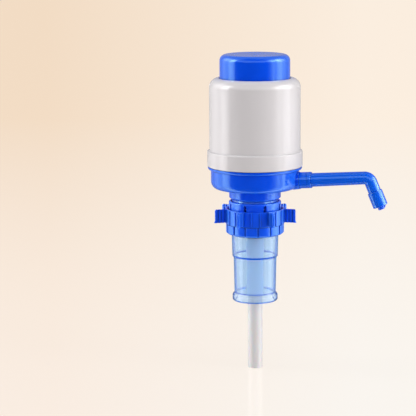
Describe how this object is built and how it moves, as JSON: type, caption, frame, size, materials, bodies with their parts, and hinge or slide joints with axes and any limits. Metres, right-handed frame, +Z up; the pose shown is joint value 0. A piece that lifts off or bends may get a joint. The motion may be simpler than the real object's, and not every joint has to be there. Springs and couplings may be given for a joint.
{
  "type": "water jug hand pump",
  "caption": "Hand pump for a water jug: press cap over a bellows, bent swivelling spout with dust plug, winged clamp nut, clear neck sleeve and suction tube.",
  "frame": {"origin": "centre of the neck sleeve's lower rim, the place that the jug's neck holds", "axes": "+Z up along the pump's axis, +X the way the spout points at rest"},
  "size_m": [0.1528, 0.08, 0.2678],
  "materials": {
    "blue_plastic": "glossy moulded polypropylene, royal blue",
    "soft_blue": "soft satin moulding, royal blue",
    "white_plastic": "glossy moulded plastic, slightly warm white",
    "inner_plastic": "natural white moulding",
    "bellows_rubber": "soft milky moulding",
    "seal_rubber": "silicone",
    "spring_steel": "drawn stainless wire",
    "clear_blue": "clear plastic tinted light blue",
    "milky_plastic": "translucent white moulding",
    "milky_tube": "translucent white extruded tube"
  },
  "bodies": {
    "pump_body": {"bellows": "bellows_rubber", "return_spring": "spring_steel", "housing": "white_plastic", "pump_base": "blue_plastic", "neck_seal": "seal_rubber", "valve_deck": "inner_plastic", "deck_seal": "seal_rubber", "bellows_clamp": "inner_plastic", "water_elbow": "inner_plastic", "outlet_pipe": "inner_plastic", "riser_pipe": "inner_plastic", "hose_socket": "milky_plastic", "suction_tube": "milky_tube", "clamp_collar": "blue_plastic", "sleeve_seal": "seal_rubber", "neck_sleeve": "clear_blue", "spout_cuff": "blue_plastic"},
    "press": {"press_cap": "blue_plastic", "press_plate": "inner_plastic"},
    "intake": {"intake_valve": "seal_rubber"},
    "outlet": {"outlet_valve": "seal_rubber"},
    "thrust_ring": {"lock_ring": "blue_plastic"},
    "clamp_nut": {"wing_nut": "blue_plastic"},
    "spout": {"spout_seal": "seal_rubber", "spout_tube": "blue_plastic", "nozzle_sleeve": "blue_plastic", "dust_strap": "soft_blue"},
    "plug": {"dust_plug": "soft_blue"}
  },
  "joints": [
    {"name": "press_slide", "type": "slide", "parent": "pump_body", "child": "press", "axis": [0, 0, -1], "range_m": [0, 0.017], "stiffness_N_per_m": 1200, "springref_m": -0.004, "deforming": ["bellows", "return_spring"]},
    {"name": "intake_lift", "type": "slide", "parent": "press", "child": "intake", "axis": [0, 0, -1], "range_m": [0, 0.0015], "stiffness_N_per_m": 20, "springref_m": -0.002},
    {"name": "outlet_lift", "type": "slide", "parent": "pump_body", "child": "outlet", "axis": [0, 0, -1], "range_m": [0, 0.0015], "stiffness_N_per_m": 20, "springref_m": -0.002},
    {"name": "ring_slide", "type": "slide", "parent": "pump_body", "child": "thrust_ring", "axis": [0, 0, 1], "range_m": [0, 0.003]},
    {"name": "nut_turn", "type": "hinge", "parent": "thrust_ring", "child": "clamp_nut", "pos_m": [0, 0, 0.06375], "axis": [0, 0, 1], "range_deg": [0, 360]},
    {"name": "spout_swivel", "type": "hinge", "parent": "pump_body", "child": "spout", "pos_m": [0, 0, 0.09852], "axis": [0.9972, 0, 0.075], "range_deg": [-90, 90]},
    {"name": "plug_hinge", "type": "hinge", "parent": "spout", "child": "plug", "pos_m": [0.10764, 0.0066, 0.08131], "axis": [0.9219, 0, 0.3875], "range_deg": [0, 90]}
  ],
  "couplings": [
    {"joint": "ring_slide", "follows": "nut_turn", "m_per_rad": 0.00047746}
  ]
}
